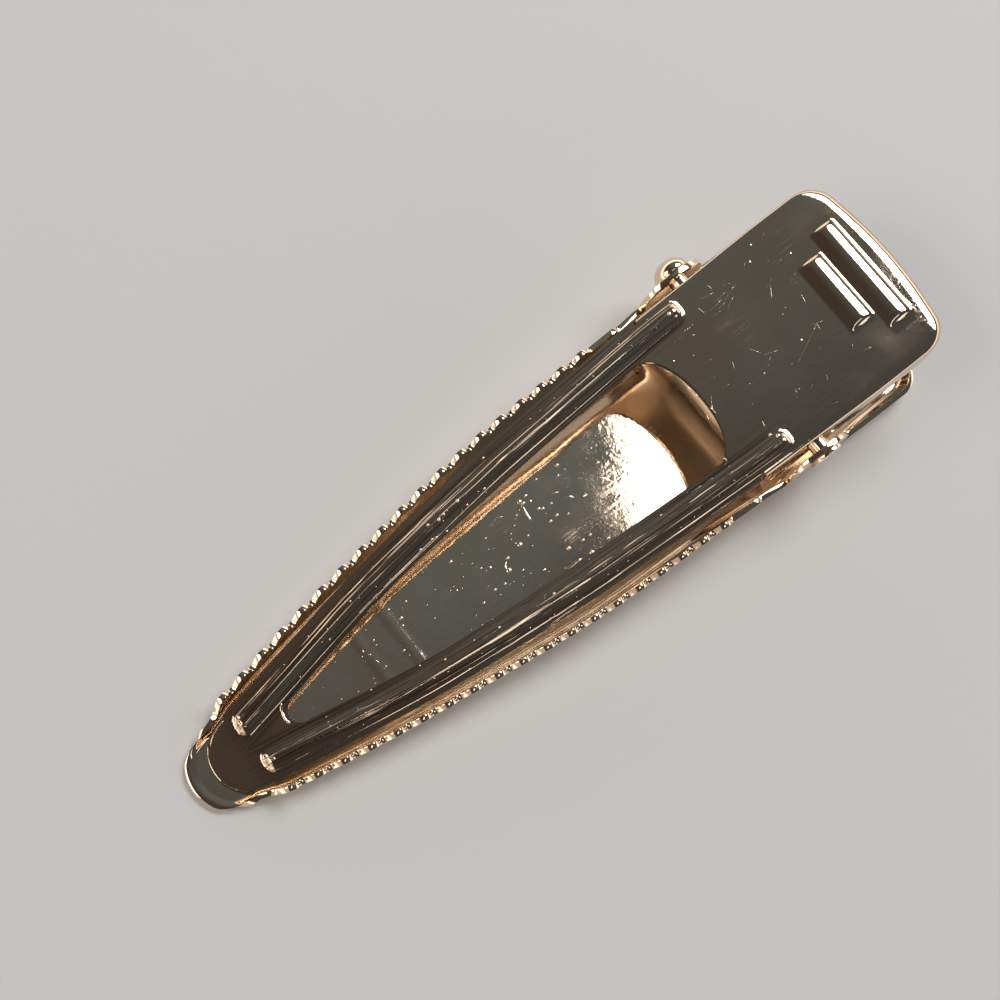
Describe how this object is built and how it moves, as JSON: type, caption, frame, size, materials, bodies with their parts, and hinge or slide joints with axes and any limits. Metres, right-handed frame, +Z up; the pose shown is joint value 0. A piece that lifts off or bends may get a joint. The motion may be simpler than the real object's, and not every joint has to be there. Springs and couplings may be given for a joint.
{
  "type": "hair clip",
  "caption": "Sprung sheet metal hair clip: a toothed channel jaw, a windowed lever arm with finger ridges on its pad, a leaf spring and a rivet pin.",
  "frame": {"origin": "underside of the lower jaw's floor, in the clip's middle plane, half way along the clip", "axes": "+X along the clip from its tip to the finger pads, +Y across it to the pin's domed head, +Z up from the surface the clip lies on"},
  "size_m": [0.0755, 0.0224, 0.0096],
  "materials": {
    "rose_gold_plated_steel": "mirror bright light rose gold plating over stamped steel",
    "rose_gold_plated_rivet": "bright light rose gold plating",
    "rose_gold_plated_leaf": "plated rolled spring steel"
  },
  "bodies": {
    "jaw": {"lower_jaw": "rose_gold_plated_steel", "rivet_pin": "rose_gold_plated_rivet", "leaf_spring": "rose_gold_plated_leaf"},
    "arm": {"lever_arm": "rose_gold_plated_steel"}
  },
  "joints": [
    {"name": "arm_hinge", "type": "hinge", "parent": "jaw", "child": "arm", "pos_m": [0.02175, 0, 0.0053], "axis": [0, 1, 0], "range_deg": [0, 22], "stiffness_Nm_per_rad": 0.15, "springref_deg": -31.51, "deforming": ["leaf_spring"]}
  ]
}
